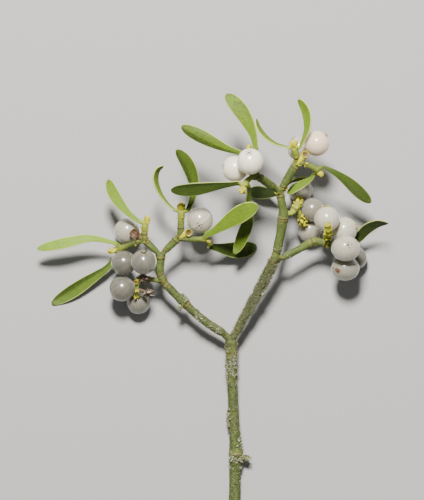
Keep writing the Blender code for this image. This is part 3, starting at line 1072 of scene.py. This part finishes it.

# %% Copy the berry to every place
# how pale a berry is stands for painted light and shade: berries in the light are painted pale,
# berries in shade dark grey
BERRIES = {  # the way each scar faces, and how pale the berry is
    "berry_left_cupped": ((-0.4, -0.5, -0.7), 0.35),
    "berry_left_side": ((-0.7, -0.3, -0.6), 0.0),
    "berry_left_front": ((0.02, 0.72, 0.69), 0.04),
    "berry_left_low": ((-0.6, -0.5, -0.6), 0.02),
    "berry_left_lowest": ((0.2, -0.7, -0.6), 0.07),
    "berry_middle": ((-0.06, -0.44, 0.9), 0.42),
    "berry_centre_back": ((-0.9, 0.2, 0.3), 0.95),
    "berry_centre_front": ((-0.1, 0.67, 0.73), 1.0),
    "berry_top_back": ((-0.5, 0.8, 0.2), 0.5),
    "berry_top_front": ((0.72, 0.62, 0.3), 0.75),
    "berry_right_shaded": ((0.2, -0.3, -0.9), 0.2),
    "berry_right_upper": ((0.5, -0.2, -0.8), 0.12),
    "berry_right_under": ((-0.4, -0.8, 0.1), 0.3),
    "berry_right_front": ((-0.1, 0.98, 0.1), 0.5),
    "berry_right_outer": ((0.95, 0.3, 0.1), 0.5),
    "berry_right_scarred": ((0.19, 0.26, 0.95), 0.4),
    "berry_right_low": ((-0.62, -0.1, 0.6), 0.22),
    "berry_right_hidden": ((0.7, -0.5, -0.4), 0.0),
}
RUST_SPOT = Vector((45.3, 13.6, 15.5)) * MM
RUST_SIZE = 2.3 * MM
for node, (facing, painted_lighting) in BERRIES.items():
    low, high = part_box(node)
    only(fruit)
    bpy.ops.object.duplicate()
    berry = bpy.context.object
    berry.rotation_euler = Vector(facing).to_track_quat("Z", "Y").to_euler()
    sit_still(berry)
    berry.scale = (high - low) / 2
    berry.location = (low + high) / 2
    sit_still(berry)
    # the berry's painted light and shade
    store(berry, "pale", painted_lighting)
    store(berry, "pink", node == "berry_top_front")
    store(berry, "creased", node == "berry_middle")
    store(berry, "rust", [max(1 - (v.co - RUST_SPOT).length / RUST_SIZE, 0)
                          for v in berry.data.vertices])
    mount(berry, node.replace("berry", "fruit"), "berry", berry_skin, node)
bpy.data.objects.remove(fruit)
print("berries:", len(BERRIES))

# %% [markdown]
# ## Scales, buds and bracts
# Everything at a mistletoe's joints is built from one small thing: a pointed, cupped
# scale.  Fresh scales wrap the buds, yellow ones stand round the fruit stalks, and dry
# brown ones are left round the old joints.  The scale is modelled once as a small grid
# that is drawn to a point, hollowed, stood up and given a wall.

# %% Model one scale
SCALE_OUTLINE = (0.62, 0.82, 0.92, 0.84, 0.6, 0.34, 0.08)    # widths from foot to tip
SCALE_COLUMNS = 4
SCALE_BULGE = 0.55
SCALE_WALL = 0.12

bpy.ops.object.select_all(action="DESELECT")
bpy.ops.mesh.primitive_grid_add(
    x_subdivisions=SCALE_COLUMNS, y_subdivisions=len(SCALE_OUTLINE) - 1, size=1,
    location=(0, 0.5, 0))
scale_leaf = bpy.context.object
sit_still(scale_leaf)
bpy.ops.object.mode_set(mode="EDIT")
for step, width in enumerate(SCALE_OUTLINE):
    place = step / (len(SCALE_OUTLINE) - 1)
    pick(scale_leaf, lambda co: abs(co.y - place) < 0.01)
    bpy.ops.transform.resize(value=(width, 1, 1), center_override=(0, place, 0))
    bpy.ops.transform.translate(value=(0, 0, SCALE_BULGE * place * (1 - place)))
for side in (-1, 1):
    pick(scale_leaf, lambda co: co.x * side > 0.3)
    bpy.ops.transform.translate(value=(0, 0, -0.16))
    pick(scale_leaf, lambda co: 0.08 < co.x * side < 0.3)
    bpy.ops.transform.translate(value=(0, 0, -0.03))
bpy.ops.object.mode_set(mode="OBJECT")
scale_leaf.rotation_euler.x = math.pi / 2
sit_still(scale_leaf)
wall = scale_leaf.modifiers.new("wall", "SOLIDIFY")
wall.thickness = SCALE_WALL
wall.offset = 0
apply_all(scale_leaf)
bpy.ops.object.shade_smooth()
scale_leaf.rotation_euler.z = math.pi / 2
sit_still(scale_leaf)
print("scale:", len(scale_leaf.data.polygons), "faces,",
      [round(n, 2) for n in scale_leaf.dimensions])

# %% Carry a copy to its place
def frame_of(at, upward, outward, size):
    """A place whose Z looks upward and whose X looks outward, at a size."""
    up = upward.normalized()
    out = (outward - up * outward.dot(up)).normalized()
    turn = Matrix((out, up.cross(out), up)).transposed().to_4x4()
    return Matrix.Translation(at) @ turn @ Matrix.Diagonal((*size, 1))


def gather(name, masters, places):
    """One mesh made of copies: each place is (which master, matrix, tone)."""
    corners, faces, tones = [], [], []
    for which, matrix, tone in places:
        mesh = masters[which].data
        first = len(corners)
        corners += [matrix @ v.co for v in mesh.vertices]
        faces += [[first + i for i in face.vertices] for face in mesh.polygons]
        tones += [tone] * len(mesh.vertices)
    mesh = bpy.data.meshes.new(name)
    mesh.from_pydata(corners, [], faces)
    mesh.shade_smooth()
    piece = bpy.data.objects.new(name, mesh)
    bpy.context.scene.collection.objects.link(piece)
    store(piece, "tone", tones)
    return piece


def square_to(direction):
    """Any direction square to this one, as near straight up as can be."""
    up = Vector((0, 0, 1))
    if abs(direction.dot(up)) > 0.95:
        up = Vector((0, 1, 0))
    return (up - direction * up.dot(direction)).normalized()


def turned(direction, angle):
    """A direction square to this one, turned about it from the top."""
    return Matrix.Rotation(angle, 3, direction) @ square_to(direction)


# %% Build the buds
BUD_SCALES = 7            # in each bud
SCALE_TURN = 0.29         # of a full turn from one scale to the next

bpy.ops.object.select_all(action="DESELECT")
bpy.ops.mesh.primitive_uv_sphere_add(
    segments=14, ring_count=10, radius=0.5, location=(0, 0, 0.44))
heart = bpy.context.object
heart.scale = (0.8, 0.8, 1.0)
sit_still(heart)
bpy.ops.object.mode_set(mode="EDIT")
pick(heart, lambda co: co.z > 0.85)
bpy.ops.transform.resize(value=(0.55, 0.9, 1), center_override=(0, 0, 0.9))
bpy.ops.object.mode_set(mode="OBJECT")

draws = random.Random(7)
places = []
for node, foot in bud_feet.items():
    _, ahead, _ = along(node, 1.0)
    length, width, tone = BUDS[node]
    length, width = length * MM, width * MM
    up = square_to(ahead)
    places.append((0, frame_of(foot, ahead, up, (width * 0.95, width * 0.95, length)), tone))
    spin = Matrix.Rotation(draws.uniform(0, math.pi), 3, ahead)
    for i in range(BUD_SCALES):
        turn = math.tau * (i * SCALE_TURN + draws.uniform(-0.03, 0.03))
        outward = Matrix.Rotation(turn, 3, ahead) @ spin @ up
        lean = (ahead + outward * draws.uniform(0.05, 0.4)).normalized()
        size = (width * 0.62, width * 0.6, length * draws.uniform(0.45, 0.8))
        start = foot + ahead * length * 0.05 * i + outward * width * 0.26
        places.append((1, frame_of(start, lean, outward, size),
                       min(1, tone + draws.uniform(-0.1, 0.4))))
buds = gather("buds", [heart, scale_leaf], places)
print("buds:", len(bud_feet), "with", len(places) - len(bud_feet), "scales")

# %% Set the bracts round the fruit stalks and the joints
WHORLS = {  # for each shoot: where on it, scales, their size, lean outward, dryness
    "right_fruit_spur": [(0.45, 4, 1.3, 0.8, 0.3), (0.66, 5, 1.5, 0.9, 0.2),
        (0.84, 6, 1.7, 1.0, 0.15), (1.0, 6, 1.6, 0.9, 0.1)],
    "right_fruit_fork": [(0.4, 4, 1.3, 0.8, 0.25), (0.6, 5, 1.5, 0.9, 0.15),
        (0.8, 6, 1.6, 1.0, 0.1), (1.0, 6, 1.5, 0.8, 0.15)],
    "right_cluster_spur": [(0.25, 4, 1.3, 0.8, 0.1), (0.5, 6, 1.5, 0.9, 0.0),
        (0.7, 6, 1.6, 0.9, 0.0), (0.86, 6, 1.5, 0.7, 0.0), (1.0, 6, 1.4, 0.5, 0.0)],
    "left_fruit_spur": [(0.3, 3, 1.4, 0.8, 0.7), (0.55, 4, 1.3, 0.9, 0.6), (0.8, 4, 1.2, 0.7, 0.3),
        (1.0, 5, 1.3, 0.5, 0.45)],
    "left_upper_branch": [(0.05, 6, 1.3, 0.8, 0.75), (0.95, 6, 1.5, 0.8, 0.6)],
    "left_outer_branch": [(0.95, 6, 1.5, 0.8, 0.6)],
    "left_inner_branch": [(0.98, 6, 1.6, 0.8, 0.55)],
    "left_branch": [(0.64, 3, 1.1, 0.8, 0.9), (0.98, 5, 1.2, 0.8, 0.8)],
    "right_branch": [(0.97, 5, 1.1, 0.6, 0.85)],
    "right_mid_branch": [(0.57, 6, 1.0, 0.35, 0.95), (0.97, 6, 1.4, 0.7, 0.6)],
    "right_low_branch": [(0.06, 4, 1.0, 0.6, 0.85), (0.71, 6, 1.1, 0.45, 0.9),
        (0.95, 6, 1.4, 0.8, 0.6)],
    "top_branch": [(0.12, 5, 1.2, 0.6, 0.55), (0.97, 6, 1.6, 0.8, 0.35)],
    "centre_branch": [(0.92, 5, 1.3, 0.7, 0.7)], "centre_back_twig": [(0.5, 4, 1.2, 0.7, 0.4)],
    "top_left_twig": [(0.25, 4, 1.3, 0.8, 0.35)], "top_right_twig": [(0.3, 3, 1.1, 0.7, 0.4)],
    "left_inner_twig": [(0.55, 4, 1.3, 0.7, 0.3)], "left_outer_twig": [(0.42, 4, 1.4, 0.8, 0.45)],
    "left_side_twig": [(0.25, 3, 1.1, 0.7, 0.6)], "main_stem": [(0.965, 3, 1.2, 0.5, 0.9)],
}
CROWNS = {  # for each berry: the way from its middle to a dry bump, dryness
    "berry_right_front": [((-0.33, 0.94, 0.15), 0.4), ((0.1, 0.98, 0.2), 0.4),
        ((-0.12, 0.94, 0.35), 0.5)],
    "berry_right_outer": [((0.98, 0.06, 0.2), 0.6), ((0.94, 0.3, 0.2), 0.6),
        ((0.86, 0.5, 0.2), 0.5), ((0.9, 0.2, 0.42), 0.6)],
    "berry_top_front": [((0.74, 0.64, 0.25), 0.4)],
    "berry_left_front": [((-0.12, 0.76, 0.66), 1.6), ((0.12, 0.72, 0.7), 1.6),
        ((0.2, 0.82, 0.55), 1.6)],
}
BRACT_SINK = 0.86         # bracts stand a little inside the bark
CROWN_SINK = 0.485        # of a berry's width, from its middle
CROWN_SIZE = Vector((1.0, 0.9, 0.75)) * MM

places = []
for node, share, count, size, lean, dryness in listed(WHORLS):
    at, ahead, radius = along(node, share)
    spin = draws.uniform(0, math.tau)
    for i in range(count):
        outward = turned(ahead, spin + math.tau * (i + draws.uniform(-0.25, 0.25)) / count)
        toward = (ahead + outward * lean * draws.uniform(0.6, 1.4)).normalized()
        long = size * MM * draws.uniform(0.75, 1.15)
        places.append((0, frame_of(at + outward * radius * BRACT_SINK, toward, outward,
                                   (long * 0.9, long * 0.85, long)),
                       min(1, max(0, dryness + draws.uniform(-0.15, 0.2)))))
for node, way, dryness in listed(CROWNS):
    low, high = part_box(node)
    way = Vector(way).normalized()
    at = (low + high) / 2 + way * (high - low).x * CROWN_SINK
    places.append((0, frame_of(at, way, square_to(way), CROWN_SIZE), dryness))
bracts = gather("bracts", [scale_leaf], places)
print("bracts:", len(places))

# %% [markdown]
# A fruit stalk ends in a small fleshy cup with four corners, which held a flower and
# then a berry.  Where the berry has gone, the cup's brown hollow shows.

# %% Model one empty cup
CUP_RADIUS = 0.42         # of the foot; the mouth is half as wide again
CUP_RISES = ((0.35, 1.25), (0.45, 1.18))    # each course's height and widening
CUP_WALL = 0.14

bpy.ops.object.select_all(action="DESELECT")
bpy.ops.mesh.primitive_circle_add(
    vertices=16, radius=CUP_RADIUS, fill_type="NGON", location=(0, 0, 0))
cup = bpy.context.object
bpy.ops.object.mode_set(mode="EDIT")
bpy.ops.mesh.select_all(action="SELECT")
bpy.ops.mesh.flip_normals()
for rise, spread in CUP_RISES:
    bpy.ops.mesh.extrude_region_move(TRANSFORM_OT_translate={"value": (0, 0, rise)})
    bpy.ops.transform.resize(value=(spread, spread, 1), center_override=(0, 0, 0))
bpy.ops.mesh.inset(thickness=CUP_WALL, depth=0)
bpy.ops.mesh.extrude_region_move(TRANSFORM_OT_translate={"value": (0, 0, -0.3)})
bpy.ops.transform.resize(value=(0.8, 0.8, 1), center_override=(0, 0, 0))
for turn in range(4):
    angle = math.tau * turn / 4
    corner = Vector((math.cos(angle), math.sin(angle), 0))
    pick(cup, lambda co: co.z > 0.75 and co.xy.length > 0.5
         and (co.xy.normalized() - corner.xy).length < 0.25)
    bpy.ops.transform.translate(value=corner * 0.14 + Vector((0, 0, 0.12)))
bpy.ops.mesh.select_all(action="SELECT")
bpy.ops.mesh.normals_make_consistent(inside=False)
bpy.ops.object.mode_set(mode="OBJECT")
soften = cup.modifiers.new("soften", "SUBSURF")
soften.levels = soften.render_levels = 2
apply_all(cup)
bpy.ops.object.shade_smooth()
hollow = [v.co.z > 0.35 and v.co.xy.length < CUP_RADIUS - 0.1 * (v.co.z < 0.6)
          for v in cup.data.vertices]
print("cup:", len(cup.data.polygons), "faces")

# %% Set the cups
CUPS = [  # the joint it grows from, the way to its foot in mm, its facing, width, dryness
    ("left_outer_branch", 1.0, (-3.7, 2.5, -1.4), (-0.25, 0.1, 1), 4.3, 1.1),
    ("left_inner_branch", 1.0, (3.6, 2.2, 1.0), (0.15, -0.2, 1), 3.1, 0.45),
    ("top_branch", 1.0, (3.0, 3.4, 0.6), (0.1, 0.1, 1), 3.1, 0.3),
    ("centre_branch", 0.97, (-2.6, 1.4, 1.0), (-0.5, 0.4, 1), 2.2, 0.4),
    ("left_fruit_spur", 0.62, (-0.6, -0.4, 1.2), (-0.3, -0.2, 1), 2.0, 0.6),
]
places, stems = [], []
for node, share, reach, facing, width, dryness in CUPS:
    at, _, radius = along(node, share)
    foot = at + Vector(reach) * MM
    toward = Vector(facing).normalized()
    wide = width * MM
    places.append((0, frame_of(foot, toward, square_to(toward),
                               (wide * 0.72, wide * 0.72, wide * 0.5)), dryness))
    stems.append(draw_shoot([
        (at, radius * 0.8), (at.lerp(foot, 0.5), radius * 0.95),
        (foot - toward * 0.2 * MM, wide * 0.36), (foot + toward * 0.5 * MM, wide * 0.34)]))
    store(stems[-1], "tone", dryness * 0.8)
cups = gather("cups", [cup], places)
store(cups, "hollow", hollow * len(CUPS))
cup_stems = joined(*stems)
print("cups:", len(CUPS))

# %% Mix the yellow and brown of buds and bracts
recipe = Recipe("bud_and_bract")
mottle = recipe.mottle(1400.0)
broad = recipe.mottle(500.0)
tone = recipe.stored("tone") + (broad - 0.5) * 0.5
brown = recipe.blend(mottle.step(0.4, 0.6), (0.035, 0.014, 0.005), (0.16, 0.075, 0.022))
skin = recipe.coats(
    recipe.blend(mottle.step(0.35, 0.65), (0.33, 0.34, 0.008), (0.60, 0.50, 0.012)),
    (tone.step(0.35, 0.7), (0.22, 0.19, 0.018)),                              # drying
    (tone.step(0.6, 1.0), (0.075, 0.04, 0.012)),                              # dry
    (recipe.stored("hollow"), brown))
bract_skin = recipe.finish(
    Base_Color=skin, Roughness=0.5 + mottle * 0.2,
    Normal=recipe.bumps(mottle, 0.4, 0.00015))
painted = {"buds": buds, "bracts": bracts, "fruit_cups": cups, "fruit_cup_stalks": cup_stems}
for name, piece in painted.items():
    mount(piece, name, "bark", bract_skin)
for master in (scale_leaf, heart, cup):
    bpy.data.objects.remove(master)
print("painted:", *painted)

# %% [markdown]
# ## Lichen
# Grey-green lichen grows on the older bark, as scattered crumbs on the stem and as a
# bristly fur on the right branch.  Two tiny shapes are enough, a lumpy crumb and a bent
# sprout.  They are strewn with a seeded dice, so every run gives the same plant.

# %% Model a crumb and a sprout
bpy.ops.object.select_all(action="DESELECT")
bpy.ops.mesh.primitive_uv_sphere_add(segments=7, ring_count=5, radius=0.5, location=(0, 0, 0))
crumb = bpy.context.object
bpy.ops.object.mode_set(mode="EDIT")
bpy.ops.mesh.select_all(action="SELECT")
bpy.ops.transform.resize(value=(1, 0.8, 0.55), center_override=(0, 0, 0))
pick(crumb, lambda co: co.x > 0.2 and co.y > 0)
bpy.ops.transform.translate(value=(0.12, 0.1, 0.14))
pick(crumb, lambda co: co.x < -0.2 and co.z > 0)
bpy.ops.transform.translate(value=(-0.05, -0.16, 0.12))
bpy.ops.object.mode_set(mode="OBJECT")

bpy.ops.mesh.primitive_cone_add(
    vertices=5, radius1=0.13, radius2=0.06, depth=0.6, location=(0, 0, 0.3))
sprout = bpy.context.object
sit_still(sprout)
bpy.ops.object.mode_set(mode="EDIT")
pick(sprout, lambda co: co.z > 0.5)
bpy.ops.mesh.extrude_region_move(TRANSFORM_OT_translate={"value": (0.22, 0.05, 0.3)})
bpy.ops.transform.resize(value=(0.8, 0.8, 1), center_override=(0.22, 0.05, 0.9))
bpy.ops.object.mode_set(mode="OBJECT")
print("crumb:", len(crumb.data.polygons), " sprout:", len(sprout.data.polygons), "faces")

# %% Strew them over the old bark
LICHEN = {  # for each shoot: from, to, crumbs, sprouts, millimetres, patchiness
    "main_stem": [(0.02, 0.30, 60, 10, 0.36, 1), (0.28, 0.38, 90, 40, 0.45, 1),
        (0.38, 0.75, 110, 30, 0.36, 1), (0.75, 0.98, 200, 90, 0.45, 1)],
    "left_branch": [(0.05, 0.6, 120, 60, 0.38, 1), (0.6, 0.95, 50, 10, 0.34, 1)],
    "right_branch": [(0.05, 0.35, 60, 330, 0.36, 0.1), (0.35, 0.97, 110, 2000, 0.38, 0.1)],
    "right_mid_branch": [(0.02, 0.2, 24, 10, 0.4, 1)],
    "right_low_branch": [(0.05, 0.3, 24, 10, 0.38, 1)],
    "left_upper_branch": [(0.1, 0.9, 12, 0, 0.35, 1)],
}
CLUMPS = {  # for each shoot: where, spread, angle from the top, spread, pieces, size
    "main_stem": [(0.345, 0.012, 30, 60, 170, 0.7), (0.87, 0.03, 10, 50, 140, 0.65),
        (0.575, 0.022, -92, 20, 170, 0.95), (0.45, 0.03, 75, 22, 50, 0.7),
        (0.85, 0.01, -85, 20, 30, 1.1)],
    "left_branch": [(0.70, 0.02, 70, 30, 40, 0.7), (0.20, 0.03, 10, 30, 40, 0.7),
        (0.45, 0.08, -20, 40, 40, 0.6)],
}
PATCH = 2.2 * MM          # the size of a lichen patch
TRIES = 9                 # at a place where lichen may grow
LICHEN_REACH = 2.2        # radians down each side of a shoot
SPROUT_LENGTH = 1.9       # beside a crumb
LICHEN_PALE = {"right_branch": 0.6, "left_branch": 0.75}


def on_bark(node, share, angle):
    """A point on the bark and the way out of it."""
    at, ahead, radius = along(node, share)
    outward = turned(ahead, angle)
    return at + outward * radius, outward


def any_way(spread):
    """A random way, longer or shorter at random."""
    return Vector([draws.gauss(0, spread) for _ in range(3)])


def speck(which, at, outward, size, lean):
    """One crumb or sprout, turned at random and leaning out of the bark."""
    tilt = Vector([draws.uniform(-lean, lean) for _ in range(3)])
    spin = Vector([draws.uniform(-1, 1) for _ in range(3)])
    grow = size * draws.uniform(0.5, 1.3)
    matrix = frame_of(at, (outward + tilt).normalized(), spin, (grow, grow, grow))
    return which, matrix, draws.random()


places = []
for node, low, high, crumbs, sprouts, size, patchy in listed(LICHEN):
    for number in range(crumbs + sprouts):
        for _ in range(TRIES):
            at, outward = on_bark(node, draws.uniform(low, high),
                                  draws.uniform(-LICHEN_REACH, LICHEN_REACH))
            if noise.noise(at / PATCH) > draws.uniform(0.55 * patchy - 0.6, 0.4):
                break
        which = int(number >= crumbs)
        long = size * MM * (SPROUT_LENGTH if which else 1)
        which, matrix, tone = speck(which, at, outward, long, 0.8)
        places.append((which, matrix, tone * LICHEN_PALE.get(node, 1.0)))
for node, share, share_spread, angle, angle_spread, count, size in listed(CLUMPS):
    for number in range(count):
        at, outward = on_bark(node, share + draws.gauss(0, share_spread),
                              math.radians(angle + draws.gauss(0, angle_spread)))
        lift = outward * draws.uniform(-0.1, 0.3) * MM
        places.append(speck(number % 2, at + lift, outward, size * MM, 0.8))
for node, share, reach, size in STUBS:
    root, _, _ = along(node, share)
    for number in range(int(80 * size)):
        way = any_way(1).normalized()
        at = root + Vector(reach) * MM * draws.uniform(0.5, 1.02)
        places.append(speck(number % 3 // 2, at + way * size * 0.9 * MM, way, 0.7 * MM, 0.6))
lichen = gather("lichen", [crumb, sprout], places)

recipe = Recipe("grey_lichen")
crumble = recipe.mottle(2400.0)
tone = recipe.stored("tone")
skin = recipe.coats(
    recipe.blend(tone, (0.12, 0.13, 0.06), (0.40, 0.41, 0.26)),
    (tone.step(0.85, 1.0), (0.62, 0.62, 0.52)),
    (crumble * 0.5, (0.13, 0.14, 0.06)))
recipe.finish(Base_Color=skin, Roughness=0.9, Normal=recipe.bumps(crumble, 0.5, 0.0001))
mount(lichen, "lichen", "bark", recipe.material)
print("lichen:", len(places), "pieces,", len(lichen.data.polygons), "faces")

# %% [markdown]
# ## Withered flowers and spider silk
# Two dry brown flower heads cling to the left fruit stalk, and a few threads of old
# spider silk are caught between the leaves.

# %% Crumple the withered flowers
WITHERED = [  # shoot, share, the way to the flower's heart in mm, pieces, spread
    ("left_fruit_spur", 0.4, (-1.0, 0.6, 2.4), 44, 2.0),
    ("left_fruit_spur", 0.8, (4.0, -1.3, -0.4), 32, 1.8)]
PETAL = 1.5 * MM
DRY_STALK = 0.5 * MM
places, dry_stalks = [], []
for node, share, reach, count, spread in WITHERED:
    at, _, _ = along(node, share)
    centre = at + Vector(reach) * MM
    dry_stalks.append(draw_shoot([
        (at, DRY_STALK), (at.lerp(centre, 0.5), DRY_STALK * 0.8), (centre, DRY_STALK)]))
    store(dry_stalks[-1], "tone", 0.5)
    for number in range(count):
        off = any_way(0.42) * spread * MM
        places.append(speck(number % 2, centre + off, off.normalized(), PETAL, 0.8))
withered = joined(gather("withered_flowers", [crumb, sprout], places), *dry_stalks)
recipe = Recipe("withered_brown")
crumble = recipe.mottle(1800.0)
tone = recipe.stored("tone")
skin = recipe.coats(
    recipe.blend(tone, (0.05, 0.035, 0.022), (0.22, 0.15, 0.09)),
    (tone.step(0.85, 0.9), (0.42, 0.36, 0.26)))
recipe.finish(Base_Color=skin, Roughness=0.85, Normal=recipe.bumps(crumble, 0.6, 0.0001))
mount(withered, "withered_flowers", "bark", recipe.material)
for master in (crumb, sprout):
    bpy.data.objects.remove(master)
print("withered pieces:", len(places))

# %% String the silk
SILK_RADIUS = 0.035 * MM
SILK_BEVEL = 1            # six corners all round
SILK_STEPS = 8
SILK = [  # the two ends, as a node and a share of its box, and how far it sags
    ("leaf_top", (0.86, 0.02, 0.6), "berry_centre_front", (0.62, 0.96, 0.5), 0.3),
    ("leaf_top_tall", (0.3, 0.25, 0.5), "berry_top_back", (0.45, 0.97, 0.7), 0.4),
    ("leaf_top_tall", (0.35, 0.4, 0.5), "berry_top_back", (0.3, 0.9, 0.8), 0.9),
    ("centre_branch", (0.35, 0.75, 0.6), "right_mid_branch", (0.6, 0.99, 0.9), -1.6),
    ("leaf_left_lower", (0.62, 0.7, 0.8), "leaf_left_outer", (0.98, 0.1, 0.6), 0.5),
]


def in_box(node, share):
    """The point at a share of each side of a node's box."""
    low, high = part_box(node)
    return Vector([l + (h - l) * s for l, h, s in zip(low, high, share)])


threads = []
for first, share_a, second, share_b, sag in SILK:
    start, end = in_box(first, share_a), in_box(second, share_b)
    hang = Vector((sag, -sag, -0.3)) * MM
    rows = []
    for step in range(SILK_STEPS + 1):
        t = step / SILK_STEPS
        rows.append(with_size(start.lerp(end, t) + hang * 4 * t * (1 - t), SILK_RADIUS))
    threads.append(sweep(rows, SILK_BEVEL))
silk = joined(*threads)
recipe = Recipe("old_silk")
recipe.finish(Roughness=0.6, Base_Color=recipe.blend(
    recipe.mottle(3000.0), (0.35, 0.35, 0.34), (0.7, 0.7, 0.68)))
mount(silk, "spider_silk", "bark", recipe.material)
print("threads:", len(SILK))
